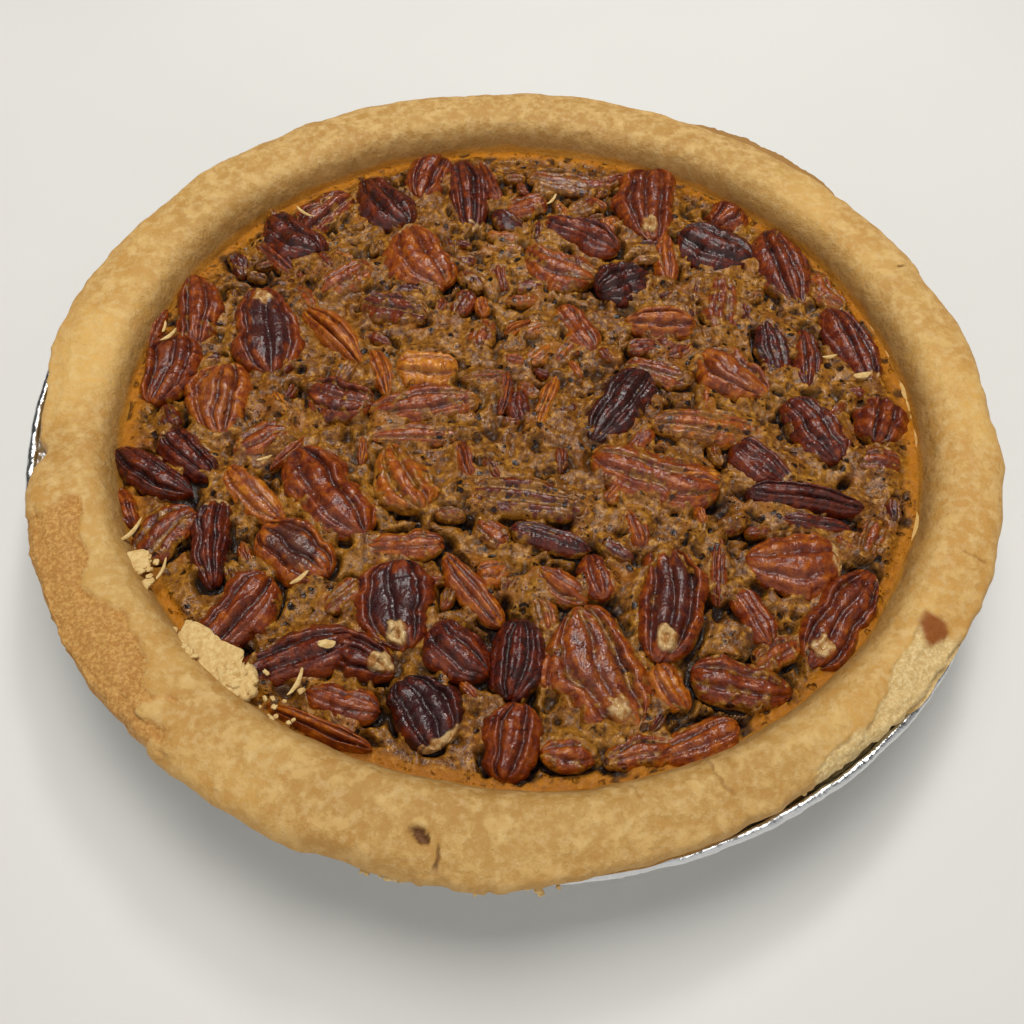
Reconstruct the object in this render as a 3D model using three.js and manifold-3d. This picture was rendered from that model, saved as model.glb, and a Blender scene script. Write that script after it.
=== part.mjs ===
// A whole nine-inch pecan pie in its foil tin.
// The tin is a thin aluminium pan with a rolled bead. The crust lines it and ends in a thick
// rolled rim that lies on the tin's flange. Set custard fills the crust to below the rim, and
// pecan halves lie sunk in the custard, some with the domed back up and some with the inner
// face up. A few loose flakes of the rim have dropped on the custard.
// Millimetres, +Z up, origin at the middle of the tin's base, front of the pie towards -Y.
import * as THREE from "three";
import { mergeVertices } from "three/addons/utils/BufferGeometryUtils.js";
import Module from "manifold-3d";

const wasm = await Module();
wasm.setup();

// Driving dimensions.
const TIN_RADIUS = 122; // outside of the bead
const TIN_HEIGHT = 28.4; // top of the bead
const TIN_BASE_RADIUS = 91;
const FOIL = 0.35;
const BEAD_RADIUS = 1.4;
const GAP = 0.3; // kept between pieces that touch
const CRUST_BASE = 4.5; // thickness of the pastry under the custard
const CRUST_WALL = 4.6;
const RIM_TOP = 34;
const RIM_MEAN_RADIUS = 122.6; // outside of the rim, before its outline wanders
const RIM_INSIDE_RADIUS = 102.3; // where the custard meets the rim
const CUSTARD_LEVEL = 24.8; // its top
const CUSTARD_SHIFT = 2; // how far the custard's middle lies to the right of the tin's
const FLAKE_LIFT = 0.9; // the middle of a loose flake, above the custard
const NUT_LINE = 0.3; // a nut's widest line, above the custard
const NUT_RISE = 3.4; // from there to its top
const NUT_SUNK = 4; // from there to its keel

const ROUND_STEPS = 48; // segments round the tin and the crust
const BEAD_STEPS = 7;
const radians = THREE.MathUtils.degToRad;

const FLANGE_TOP = TIN_HEIGHT - BEAD_RADIUS;
const FLANGE_INSIDE_RADIUS = TIN_BASE_RADIUS + 16.5;
const BEAD_CENTRE = TIN_RADIUS - BEAD_RADIUS;

const foilMaterial = new THREE.MeshStandardMaterial({ color: 0xc9cbcd, roughness: 0.3, metalness: 1 });
const pastryMaterial = new THREE.MeshStandardMaterial({ color: 0xd0a265, roughness: 0.85, metalness: 0 });
const custardMaterial = new THREE.MeshStandardMaterial({ color: 0x7a4a20, roughness: 0.55, metalness: 0 });
const nutMaterial = new THREE.MeshStandardMaterial({ color: 0x6b2e18, roughness: 0.4, metalness: 0 });

// A closed geometry as a manifold-3d solid.
function solidOf(geometry) {
  const bare = geometry.clone();
  bare.deleteAttribute("normal");
  bare.deleteAttribute("uv");
  const merged = mergeVertices(bare, 1e-3);
  return new wasm.Manifold(
    new wasm.Mesh({
      numProp: 3,
      vertProperties: new Float32Array(merged.attributes.position.array),
      triVerts: new Uint32Array(merged.index.array),
    }),
  );
}

// The largest body of a manifold-3d solid as a geometry. A cut can leave specks, which are dropped.
function geometryOf(solid) {
  const largest = solid.decompose().reduce((a, b) => (b.volume() > a.volume() ? b : a));
  const mesh = largest.getMesh();
  return new THREE.BufferGeometry()
    .setAttribute("position", new THREE.BufferAttribute(mesh.vertProperties, 3))
    .setIndex(new THREE.BufferAttribute(mesh.triVerts, 1));
}

// A round piece turned from a profile of [radius, height] points, with its axis along +Z.
function turned(profile) {
  const points = profile.map(([radius, height]) => new THREE.Vector2(radius, height));
  return new THREE.LatheGeometry(points, ROUND_STEPS).rotateX(Math.PI / 2);
}

function named(name, geometry, material) {
  const mesh = new THREE.Mesh(geometry, material);
  mesh.name = name;
  return mesh;
}

// The tin: base, sloping wall, flat flange and rolled bead, in one skin of foil.
function makeTin() {
  const start = Math.asin(FOIL / BEAD_RADIUS) - Math.PI; // where the flange's underside meets the bead
  const bead = Array.from({ length: BEAD_STEPS + 1 }, (_, i) => {
    const angle = start + (i / BEAD_STEPS) * (Math.PI - start);
    return [BEAD_CENTRE + BEAD_RADIUS * Math.cos(angle), FLANGE_TOP + BEAD_RADIUS * Math.sin(angle)];
  });
  const profile = [
    [0, 0],
    [TIN_BASE_RADIUS, 0],
    [FLANGE_INSIDE_RADIUS + FOIL, FLANGE_TOP - FOIL],
    ...bead,
    [FLANGE_INSIDE_RADIUS, FLANGE_TOP],
    [TIN_BASE_RADIUS - FOIL, FOIL],
    [0, FOIL],
  ];
  return named("tin", turned(profile), foilMaterial);
}

// The slow part of the rim's outline, by bearing in degrees from +X. Each entry is [bearing,
// spread, amount]. The rim hangs over the bead nearly all round. At the front right and the
// left it falls short, so that the bead shows, and at the left front its skin has come away.
const RIM_OUTLINE = [
  [42, 24, 1.2],
  [-105, 20, 0.8],
  [-57, 22, -5],
  [190, 11, -4.5],
  [-145, 25, -1.5],
];

function rimOverhang(bearing) {
  return RIM_OUTLINE.reduce((sum, [at, spread, amount]) => {
    const away = (((bearing - at + 540) % 360) - 180) / spread;
    return sum + amount * Math.exp(-away * away);
  }, 0);
}

// The inside of the crust follows the custard's middle. Its upper edge also wanders, and the
// rim's top rises and falls, in slow waves.
function innerShift(bearing) {
  return CUSTARD_SHIFT * Math.cos(radians(bearing));
}

function innerWander(bearing) {
  const b = radians(bearing);
  return innerShift(bearing) + 0.4 * Math.sin(4 * b + 0.6) + 0.3 * Math.sin(9 * b + 1.4);
}

function rimLift(bearing) {
  const b = radians(bearing);
  return 0.45 * Math.sin(3 * b + 1) + 0.35 * Math.sin(7 * b + 2.2) + 0.3 * Math.sin(13 * b);
}

// The crust: one shell of pastry from the base up the wall to the rolled rim. Each point of its
// profile is [radius, height, shift, lift]: which outline moves it in or out, and its share of
// the rim's rise and fall.
function makeCrust() {
  const under = FOIL + GAP;
  const rest = FLANGE_TOP + GAP;
  const overBead = TIN_HEIGHT + GAP;
  const still = () => 0;
  const tuck = (bearing) => Math.min(0, rimOverhang(bearing)); // inside the bead it never moves out
  const shared = (bearing) => 0.5 * (rimOverhang(bearing) + innerWander(bearing));
  const profile = [
    [0, under, still, 0],
    [TIN_BASE_RADIUS - FOIL - GAP, under, still, 0],
    [FLANGE_INSIDE_RADIUS - GAP, rest, still, 0],
    [BEAD_CENTRE - BEAD_RADIUS - GAP, rest, tuck, 0],
    [BEAD_CENTRE - BEAD_RADIUS, overBead, tuck, 0],
    [RIM_MEAN_RADIUS - 1.2, overBead, rimOverhang, 0],
    [RIM_MEAN_RADIUS, overBead + 1.4, rimOverhang, 0.5],
    [RIM_MEAN_RADIUS - 1.6, RIM_TOP - 1.8, rimOverhang, 1],
    [RIM_MEAN_RADIUS - 6, RIM_TOP - 0.3, shared, 1],
    [RIM_MEAN_RADIUS - 11, RIM_TOP, shared, 1],
    [RIM_INSIDE_RADIUS + 4.2, RIM_TOP - 1.3, innerWander, 1],
    [RIM_INSIDE_RADIUS + 1.6, RIM_TOP - 4, innerWander, 0.5],
    [RIM_INSIDE_RADIUS, CUSTARD_LEVEL, innerShift, 0],
    [TIN_BASE_RADIUS - CRUST_WALL, under + CRUST_BASE, innerShift, 0],
    [0, under + CRUST_BASE, still, 0],
  ];
  const geometry = turned(profile);
  const at = geometry.attributes.position;
  for (let i = 0; i < at.count; i++) {
    const [radius, height, shift, lift] = profile[i % profile.length];
    if (radius === 0) continue;
    const bearing = THREE.MathUtils.radToDeg(Math.atan2(at.getY(i), at.getX(i)));
    const scale = (radius + shift(bearing)) / radius;
    at.setXYZ(i, at.getX(i) * scale, at.getY(i) * scale, height + lift * rimLift(bearing));
  }
  return named("crust", geometry, pastryMaterial);
}

// The space inside the crust, clear of its wall by the gap, from its floor up to a given height.
function insideCrust(height) {
  const clear = GAP * 1.2; // the wall slopes, so the gap across it is a little less
  const floor = FOIL + CRUST_BASE + 2 * GAP;
  const edge = RIM_INSIDE_RADIUS - clear;
  const profile = [
    [0, floor],
    [TIN_BASE_RADIUS - CRUST_WALL - clear, floor],
    [edge, CUSTARD_LEVEL],
  ];
  if (height > CUSTARD_LEVEL) profile.push([edge, height]);
  profile.push([0, height]);
  return solidOf(turned(profile).translate(CUSTARD_SHIFT, 0, 0));
}

// Places across the top of a nut, from side to side, as shares of its half width.
const BACK_ACROSS = [-1, -0.66, -0.34, 0, 0.34, 0.66, 1]; // side, lobe, groove, ridge, groove, lobe, side
const FACE_ACROSS = [-1, -0.6, 0, 0.6, 1]; // side, lobe, valley, lobe, side
const NUT_STATIONS = 5; // steps from tip to tip
const GROOVE_DEPTH = 1.3;

// A pecan half lying along +X with its widest line at height 0. It is a ball whose rings become
// the nut's cross-sections: rounded ends, ridges and grooves on top, and a keel below.
// swell makes the same shape larger all round, for the pocket that it lies in.
function nutGeometry(side, length, width, swell = 0) {
  const top = side === "back" ? BACK_ACROSS : FACE_ACROSS;
  const grooveAt = side === "back" ? 0.34 : 0;
  const round = top.length + 1; // the places on top and the keel
  const geometry = new THREE.SphereGeometry(1, round, NUT_STATIONS).rotateZ(-Math.PI / 2);
  const at = geometry.attributes.position;
  for (let i = 0; i < at.count; i++) {
    const along = at.getX(i);
    const fullness = Math.min(1, 1.05 * Math.pow(Math.max(0, 1 - along * along), 0.42));
    const place = (i % (round + 1)) % round; // a ring's last vertex is its first again
    const isKeel = place === top.length;
    const across = isKeel ? 0 : top[place];
    const dome = Math.sqrt(1 - across * across);
    const groove = Math.abs(across) === grooveAt ? GROOVE_DEPTH : 0;
    const height = isKeel ? -(NUT_SUNK + swell) : (NUT_RISE + swell) * dome - groove;
    const y = -across * (width / 2 + swell);
    at.setXYZ(i, along * (length / 2 + swell), y * fullness, height * fullness);
  }
  return geometry;
}

// How the nuts lie: [side up, x, y, turn of the long axis from +X in degrees, length, width].
// They are listed from the back of the pie to the front.
const NUTS = [
  ["back", -31, 87, 77, 21, 13],
  ["face", 37, 80, -90, 31, 19],
  ["back", -18, 79, -80, 31, 12],
  ["back", 62, 77, 50, 15, 13],
  ["back", -43, 74, -55, 25, 16],
  ["back", -60, 69, 50, 20, 13],
  ["back", 17, 65, -30, 25, 13],
  ["back", 56, 62, -30, 23, 18],
  ["back", -70, 59, -40, 27, 15],
  ["back", 76, 55, -78, 31, 16],
  ["back", -30, 52, -60, 28, 18],
  ["back", 10, 51, -30, 23, 15],
  ["back", 29, 46, 30, 17, 14],
  ["back", -50, 42, 45, 18, 12],
  ["back", -35, 31, -10, 20, 12],
  ["back", 39, 31, 2, 20, 11],
  ["back", -89, 26, -80, 28, 13],
  ["back", 92, 26, -76, 29, 14],
  ["face", -69, 21, 105, 33, 19],
  ["back", -50, 20, -45, 26, 9],
  ["face", 58, 13, -40, 22, 17],
  ["back", -24, 10, 5, 16, 14],
  ["face", -93, 6, 88, 25, 16],
  ["back", 27, 1, 60, 28, 14],
  ["back", 96, 0, 70, 17, 14],
  ["face", -46, -2, -15, 18, 15],
  ["back", -24, -2, 12, 30, 12],
  ["face", -77, -4, 95, 24, 18],
  ["back", 78, -4, -60, 23, 14],
  ["back", 50, -5, -3, 30, 12],
  ["back", 63, -16, -45, 18, 13],
  ["back", 36, -21, -15, 33, 16],
  ["back", -81, -22, -42, 20, 10],
  ["back", -27, -26, -60, 22, 14],
  ["back", 73, -26, -6, 29, 9],
  ["back", -89, -28, -30, 25, 10],
  ["back", 4, -30, -8, 30, 13],
  ["back", -45, -31, -52, 32, 17],
  ["back", 68, -45, 5, 24, 17],
  ["back", -70, -47, -80, 25, 9],
  ["face", -50, -48, -35, 21, 16],
  ["face", 38, -57, -96, 31, 17],
  ["face", 78, -59, 235, 31, 15],
  ["face", -25, -61, -78, 23, 18],
  ["back", -60, -65, 60, 22, 15],
  ["back", -10, -72, -40, 18, 13],
  ["back", 3, -73, 85, 20, 13],
  ["face", -32, -74, -20, 18, 11],
  ["face", 22, -74, -68, 31, 21],
  ["back", -45, -75, 25, 30, 12],
  ["back", 53, -76, -8, 23, 12],
  ["face", -16, -86, -55, 18, 15],
  ["back", -39, -92, -20, 27, 7],
  ["back", 3, -92, 80, 18, 13],
];

// Nuts pressed into the custard. Where a nut meets an earlier one or the crust, it is trimmed back.
function makeNuts() {
  const room = insideCrust(RIM_TOP);
  const pockets = [];
  const meshes = NUTS.map(([side, x, y, turn, length, width], i) => {
    const lay = (geometry) => geometry.rotateZ(radians(turn)).translate(x, y, CUSTARD_LEVEL + NUT_LINE);
    let nut = solidOf(lay(nutGeometry(side, length, width))).intersect(room);
    for (const pocket of pockets) nut = nut.subtract(pocket);
    pockets.push(solidOf(lay(nutGeometry(side, length, width, GAP + 0.05))));
    const number = String(i + 1).padStart(2, "0");
    return named(`pecan_${side}_${number}`, geometryOf(nut), nutMaterial);
  });
  return { meshes, pockets };
}

// The custard with a pocket for each nut. Corners closer than a micrometre are merged before the
// last look for specks, because a speck can hang on by such a corner.
function makeCustard(pockets) {
  const whole = insideCrust(CUSTARD_LEVEL);
  const cut = pockets.reduce((custard, pocket) => custard.subtract(pocket), whole);
  return named("custard", geometryOf(solidOf(geometryOf(cut))), custardMaterial);
}

// A loose flake of pastry: a thin plate with an uneven lobed outline, lying by the rim. It is
// tipped a little, and cut back where it meets the rim or a nut.
function makeFlake(pockets, name, x, y, turn, tip, reach, thickness, lobes) {
  const outline = new THREE.Shape();
  const corners = 10;
  for (let i = 0; i < corners; i++) {
    const angle = (i / corners) * 2 * Math.PI;
    const radius = reach * (1 + 0.16 * Math.sin(lobes * angle) + 0.1 * Math.cos((lobes + 2) * angle));
    outline[i ? "lineTo" : "moveTo"](radius * Math.cos(angle), 0.62 * radius * Math.sin(angle));
  }
  const geometry = new THREE.ExtrudeGeometry(outline, { depth: thickness, bevelEnabled: false });
  geometry.rotateX(radians(tip)).rotateZ(radians(turn));
  geometry.translate(x, y, CUSTARD_LEVEL + FLAKE_LIFT);
  let flake = solidOf(geometry).intersect(insideCrust(RIM_TOP));
  for (const pocket of pockets) flake = flake.subtract(pocket);
  return named(name, geometryOf(flake), pastryMaterial);
}

const { meshes: nuts, pockets } = makeNuts();
const pie = new THREE.Group();
pie.add(makeTin(), makeCrust(), makeCustard(pockets), ...nuts);
pie.add(makeFlake(pockets, "flake_large", -64.5, -74.5, -38, 6, 6.8, 1.1, 3));
pie.add(makeFlake(pockets, "flake_crumbly", -53.5, -83, -20, -5, 5, 1.6, 4));
pie.add(makeFlake(pockets, "flake_small", -83, -54, -50, 4, 3.8, 0.9, 3));

export default pie;
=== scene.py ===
"""A whole pecan pie in the foil tin it was baked in, on a plain pale floor."""
import itertools
import math

import bmesh
import bpy
import numpy as np
from mathutils import Matrix, Vector


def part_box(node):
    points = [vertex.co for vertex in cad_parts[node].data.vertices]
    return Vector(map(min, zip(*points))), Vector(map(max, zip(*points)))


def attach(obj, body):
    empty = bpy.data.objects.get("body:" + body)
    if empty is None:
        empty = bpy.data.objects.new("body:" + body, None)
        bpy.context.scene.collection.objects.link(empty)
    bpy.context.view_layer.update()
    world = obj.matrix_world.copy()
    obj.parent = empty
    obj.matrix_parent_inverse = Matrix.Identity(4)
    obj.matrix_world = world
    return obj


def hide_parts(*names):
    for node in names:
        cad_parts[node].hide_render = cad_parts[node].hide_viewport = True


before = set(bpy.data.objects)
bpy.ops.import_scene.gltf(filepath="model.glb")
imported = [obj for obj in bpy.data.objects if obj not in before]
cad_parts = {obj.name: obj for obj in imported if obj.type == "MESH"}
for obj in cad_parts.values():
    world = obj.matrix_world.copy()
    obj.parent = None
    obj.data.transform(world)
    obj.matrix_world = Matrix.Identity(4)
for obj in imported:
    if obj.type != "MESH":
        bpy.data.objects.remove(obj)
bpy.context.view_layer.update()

# The tin
# One sheet of thin aluminium, pressed to a pan with a flat base, a fluted sloping wall and a flat
# flange, and rolled over at its edge to a bead. It is one closed skin, turned round the pie.
MM = 0.001
TIN_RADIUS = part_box("tin")[1].x / MM
TIN_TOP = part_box("tin")[1].z / MM
BASE_RADIUS = 91
WALL_RUN = 16.5  # how much wider the wall is at the flange than at the base
FOIL = 0.35
BEAD = 1.15
FLUTES = 84
FOIL_BEARINGS = 672
FOIL_STEPS = 62
BEAD_STEPS = 18


def lattice_noise(points, size, seed):
    """Smooth noise from -1 to 1: each corner of a lattice of cubes holds a random value, and a
    point blends the eight corners round it by a smooth step along each axis."""
    place = np.asarray(points, float) / size
    cell = np.floor(place).astype(np.int64)
    step = place - cell
    step = step * step * (3 - 2 * step)
    total = 0.0
    for corner in itertools.product((0, 1), repeat=3):
        k = cell + np.array(corner)
        mixed_bits = k[..., 0] * 73856093 ^ k[..., 1] * 19349663 ^ k[..., 2] * 83492791 ^ seed * 2654435761
        mixed_bits = ((mixed_bits ^ (mixed_bits >> 13)) * 1274126177) & 0xFFFFFFFF
        value = ((mixed_bits ^ (mixed_bits >> 16)) & 0xFFFF) / 32767.5 - 1
        total = total + value * np.prod(np.where(corner, step, 1 - step), axis=-1)
    return total


def noises(points, seed, *parts):
    """A sum of smooth noises, each with its own size and amount."""
    return sum(much * lattice_noise(points, size, seed + k) for k, (size, much) in enumerate(parts))


def smooth(value, low, high):
    """0 below low, 1 above high, and a smooth step between."""
    share = np.clip((value - low) / (high - low), 0, 1)
    return share * share * (3 - 2 * share)


def between(value, low, full, still, high):
    """1 from full to still, 0 below low and above high, and a smooth step on each side."""
    return smooth(value, low, full) * (1 - smooth(value, still, high))


def rounded(corners, cut, steps=6):
    """A polyline whose inner corners are curved: each is the quadratic curve from a cut before
    the corner to a cut after it, drawn towards the corner."""
    corners = np.array(corners, float)
    parts = [corners[:1]]
    share = np.linspace(0, 1, steps)[:, None]
    for before, corner, after in zip(corners, corners[1:], corners[2:]):
        start = corner + cut * (before - corner) / np.linalg.norm(before - corner)
        end = corner + cut * (after - corner) / np.linalg.norm(after - corner)
        parts.append((1 - share) ** 2 * start + 2 * share * (1 - share) * corner + share**2 * end)
    return np.concatenate(parts + [corners[-1:]])


def evenly(line, count):
    """The same polyline with its points evenly spaced along it."""
    run = np.r_[0, np.cumsum(np.linalg.norm(np.diff(line, axis=0), axis=1))]
    at = np.linspace(0, run[-1], count)
    return np.stack([np.interp(at, run, line[:, k]) for k in range(line.shape[1])], axis=1)


def skin(name, shells, masks=None):
    """A closed mesh from grids of points in millimetres. The first index of a grid runs round the
    piece and meets itself. The second runs along it, and one face closes it at each end."""
    faces = []
    first = 0
    for points in shells:
        around, along = points.shape[:2]
        index = first + np.arange(around * along).reshape(around, along)
        beside = np.roll(index, -1, axis=0)
        quads = np.stack([index[:, :-1], beside[:, :-1], beside[:, 1:], index[:, 1:]], axis=-1)
        faces += quads.reshape(-1, 4).tolist() + [index[::-1, 0].tolist(), index[:, -1].tolist()]
        first += around * along
    return finished_mesh(name, np.concatenate([p.reshape(-1, 3) for p in shells]), faces, masks)


def finished_mesh(name, vertices, faces, masks=None):
    """A smooth object at the origin, with its faces outwards, and an attribute for each mask. The
    sign of the volume tells which way the faces look."""
    mesh = bpy.data.meshes.new(name)
    mesh.from_pydata((vertices * MM).tolist(), [], faces)
    solid = bmesh.new()
    solid.from_mesh(mesh)
    if solid.calc_volume(signed=True) < 0:
        mesh.flip_normals()
    solid.free()
    for mask, values in (masks or {}).items():
        layer = mesh.attributes.new(mask, "FLOAT", "POINT")
        layer.data.foreach_set("value", np.ascontiguousarray(values, dtype=np.float32).ravel())
    mesh.shade_smooth()
    made = bpy.data.objects.new(name, mesh)
    bpy.context.scene.collection.objects.link(made)
    return made


def place(piece, material, slot, *nodes):
    """Gives a piece its material, rides it on the pie, and hides what it stands for. Its slot is not used.
    """
    piece.data.materials.append(material)
    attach(piece, "root")
    if nodes:
        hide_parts(*nodes)


def fill(tree, node, sockets):
    """Fills a node's sockets, by name or number, with a value or from another node's output."""
    for socket, value in sockets.items():
        if isinstance(value, bpy.types.NodeSocket):
            tree.links.new(value, node.inputs[socket])
        else:
            node.inputs[socket].default_value = value


def add(tree, kind, sockets={}, **settings):
    """Adds a node to a tree, with its settings and sockets."""
    made = tree.nodes.new(kind)
    for name, value in settings.items():
        setattr(made, name, value)
    fill(tree, made, sockets)
    return made


def noise(tree, where, per_mm, detail=3.0, rough=0.55):
    """A noise pattern with this many features to a millimetre, from 0 to 1."""
    sockets = {"Vector": where, "Scale": per_mm / MM, "Detail": detail, "Roughness": rough}
    return add(tree, "ShaderNodeTexNoise", sockets).outputs["Fac"]


def steps(tree, value, low, high, to_low=0.0, to_high=1.0):
    """A smooth step of a value from low to high, mapped to another range."""
    sockets = {"Value": value, 1: low, 2: high, 3: to_low, 4: to_high}
    return add(tree, "ShaderNodeMapRange", sockets, interpolation_type="SMOOTHSTEP").outputs[0]


def blended(tree, share, first, second):
    """Two colours mixed by a share."""
    sockets = {0: share, 6: first, 7: second}
    return add(tree, "ShaderNodeMix", sockets, data_type="RGBA").outputs[2]


def maths(tree, operation, a, b=0.0):
    """Two values put together by an operation."""
    return add(tree, "ShaderNodeMath", {0: a, 1: b}, operation=operation).outputs[0]


def mask_of(tree, name):
    """The value, from 0 to 1, that the mesh holds under this name."""
    return add(tree, "ShaderNodeAttribute", attribute_name=name).outputs["Fac"]


def layered(tree, colour, layers):
    """A colour with others laid on it in turn, each where a mask or a pattern is, and no stronger
    than its share."""
    for mask, share, laid_on in layers:
        if isinstance(mask, str):
            mask = mask_of(tree, mask)
        colour = blended(tree, maths(tree, "MULTIPLY", mask, share), colour, laid_on)
    return colour


def bumped(tree, height, depth):
    """The normal of a surface whose height, from 0 to 1, spans this depth in millimetres."""
    return add(tree, "ShaderNodeBump", {"Distance": depth * MM, "Height": height}).outputs[0]


def dressed(tree, shader, colour, roughness, height, depth):
    """Gives a shader its colour, its roughness and a bump of this depth."""
    normal = bumped(tree, height, depth)
    fill(tree, shader, {"Base Color": colour, "Roughness": roughness, "Normal": normal})


def new_material(name):
    """A material, its node tree, its Principled shader, and the place of a point on the piece."""
    made = bpy.data.materials.new(name)
    made.use_nodes = True
    tree = made.node_tree
    where = tree.nodes.new("ShaderNodeTexCoord").outputs["Object"]
    return made, tree, tree.nodes["Principled BSDF"], where


def turned(profile, bearings):
    """Points of a profile of radius and height carried round the upright axis. The profile is the
    same at every bearing, or has a row for each."""
    radius, height = np.broadcast_to(profile, (len(bearings), *profile.shape[-2:])).transpose(2, 0, 1)
    angle = bearings[:, None]
    return np.stack([radius * np.cos(angle), radius * np.sin(angle), height], axis=-1)


def foil_section():
    """The foil in section, from the middle of its underside out to the bead and back along its
    inside. The inside is the underside moved square to itself by the foil's thickness, and the bead
    is an arc that starts and ends on the flange."""
    flange = TIN_TOP - BEAD - FOIL
    bead_at = np.array([TIN_RADIUS - BEAD, TIN_TOP - BEAD])
    corners = [(1.5, 0), (BASE_RADIUS, 0), (BASE_RADIUS + WALL_RUN, flange), (bead_at[0] - BEAD, flange)]
    under = evenly(rounded(corners, cut=2.2), FOIL_STEPS)
    run = np.gradient(under, axis=0)
    run /= np.linalg.norm(run, axis=1, keepdims=True)
    inside = under + FOIL * np.stack([-run[:, 1], run[:, 0]], axis=1)
    turn = np.linspace(math.asin(FOIL / BEAD) - math.pi, math.pi * 0.94, BEAD_STEPS)[:, None]
    bead = bead_at + BEAD * np.concatenate([np.cos(turn), np.sin(turn)], axis=1)
    return np.concatenate([under[:-1], bead, inside[-2::-1]])


bearings = np.linspace(0, 2 * math.pi, FOIL_BEARINGS, endpoint=False)
foil = turned(foil_section(), bearings)
flat_radius = np.hypot(foil[..., 0], foil[..., 1])
on_wall = between(foil[..., 2], 1.5, 6, 21, 25.5)
fluting = 0.45 * on_wall * np.cos(FLUTES * bearings + 0.8 * np.sin(5 * bearings))[:, None]
near_bead = smooth(flat_radius, TIN_RADIUS - 9, TIN_RADIUS - 3)
crimping = near_bead * noises(foil, 11, (2.3, 0.22), (11, 0.22))
flat_radius = flat_radius + fluting + crimping
foil[..., 0] = flat_radius * np.cos(bearings)[:, None]
foil[..., 1] = flat_radius * np.sin(bearings)[:, None]
foil[..., 2] += near_bead * noises(foil, 13, (4.3, 0.16), (1.9, 0.18))
tin = skin("foil_tin", [foil])

foil_finish, tree, shader, where = new_material("bright_foil")
creases = noise(tree, where, 0.35, detail=5)
shader.inputs["Metallic"].default_value = 1.0
colour = blended(tree, creases, (0.62, 0.63, 0.65, 1), (0.86, 0.87, 0.88, 1))
dressed(tree, shader, colour, steps(tree, creases, 0.3, 0.7, 0.10, 0.30), creases, 0.5)
place(tin, foil_finish, "foil", "tin")

# The crust
# Short pastry, rolled thin, pressed into the tin and turned over at its edge to a thick smooth rim.
# It lies on the flange and hangs over the bead, but for two places where it has shrunk or broken.
CUSTARD_LEVEL = 24.8
CUSTARD_SHIFT = 2
RIM_RADIUS = 122.6
RIM_INSIDE = 102.3
RIM_TOP = 34
RIM_BULGES = (  # bearing, spread, how much further out
    (42, 24, 1.2), (-105, 20, 0.8), (-57, 22, -3.2), (190, 11, -4.5),
    (-145, 20, 0.6), (-166, 1.5, -2.4), (-88, 7, 0.9),
)
SKIN_LOST = (-160, -120)  # bearings between which the rim's top skin has flaked off
EDGE_BROKEN = (-60, -31)  # bearings between which the outer edge has crumbled
HANGING = (248, 279)  # bearings between which the front edge hangs lowest, in crumbs
RIM_STEPS = 108
RIM_BEARINGS = 560
BURNT_SPOT = (95.1, -64.0)
HOLE_AT = (-13.6, -114.9)
CRACKS = (  # bearing, nearest and furthest radius, how far it wanders, depth
    (-66.0, 104, 115, 0.8, 0.4),
    (-95.2, 116.0, 122.5, 0.5, 0.9),
    (24.9, 115.5, 119.5, 0.3, 0.9),
    (-75.0, 104, 110, 0.6, 0.3),
    (-23.0, 113, 121, 0.8, 0.4),
    (141.0, 116, 121, 0.8, 0.3),
)


def rim_sizes(bearings):
    """Reach, top and inside radius of the rim at each bearing. The reach is a mean radius and a
    bell-shaped bulge or dip at some bearings. The top is a mean height and three slow waves. The
    inside is a circle whose middle is a little to the right."""
    reach = np.full(len(bearings), RIM_RADIUS)
    for bearing, spread, amount in RIM_BULGES:
        off = (np.degrees(bearings) - bearing + 180) % 360 - 180
        reach += amount * np.exp(-((off / spread) ** 2))
    top = RIM_TOP + 0.45 * np.sin(3 * bearings + 1) + 0.35 * np.sin(7 * bearings + 2.2)
    top += 0.3 * np.sin(13 * bearings)
    return reach, top, RIM_INSIDE + CUSTARD_SHIFT * np.cos(bearings)


def rim_section(reach, top, inside):
    """Corner points of the rim in section at every bearing, from the flange under it, out over the
    bead, over the top and down to the custard. Where the reach falls short of the bead the edge
    stands on the flange."""
    over = smooth(reach, 119.5, 121.6)
    flange = TIN_TOP - BEAD + 0.3
    pairs = [
        (over * 118.6 + (1 - over) * (reach - 3.0), flange + 0 * reach),
        (over * 119.2 + (1 - over) * (reach - 1.4), flange + 0.1 + 1.5 * over),
        (over * 121.4 + (1 - over) * (reach - 0.6), flange + 0.5 + 1.2 * over),
        (over * (reach - 0.9) + (1 - over) * (reach - 0.2), flange + 1.0 + 0.1 * over),
        (reach, flange + 2.2),
        (reach - 0.8, flange + 4.2),
        (reach - 3.0, top - 1.0),
        (reach - 6.6, top - 0.15),
        (0.42 * reach + 0.58 * inside, top),
        (inside + 4.9, top - 0.9),
        (inside + 2.5, top - 2.9),
        (inside + 1.1, top - 5.6),
        (inside, CUSTARD_LEVEL + 0 * reach),
    ]
    return np.stack([np.stack(np.broadcast_arrays(*pair), axis=-1) for pair in pairs], axis=1)


def through(corners, count):
    """A smooth curve through corner points at every bearing. Each stretch is the cubic that leaves
    and meets its ends along the line between their neighbours."""
    stretches = corners.shape[1] - 1
    at = np.linspace(0, stretches, count)
    first = np.minimum(at.astype(int), stretches - 1)
    t = (at - first)[None, :, None]
    before, start, end, after = [corners[:, np.clip(first + k, 0, stretches)] for k in (-1, 0, 1, 2)]
    bend = 2 * before - 5 * start + 4 * end - after
    twist = 3 * (start - end) + after - before
    return start + 0.5 * t * ((end - before) + t * (bend + t * twist))


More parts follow.
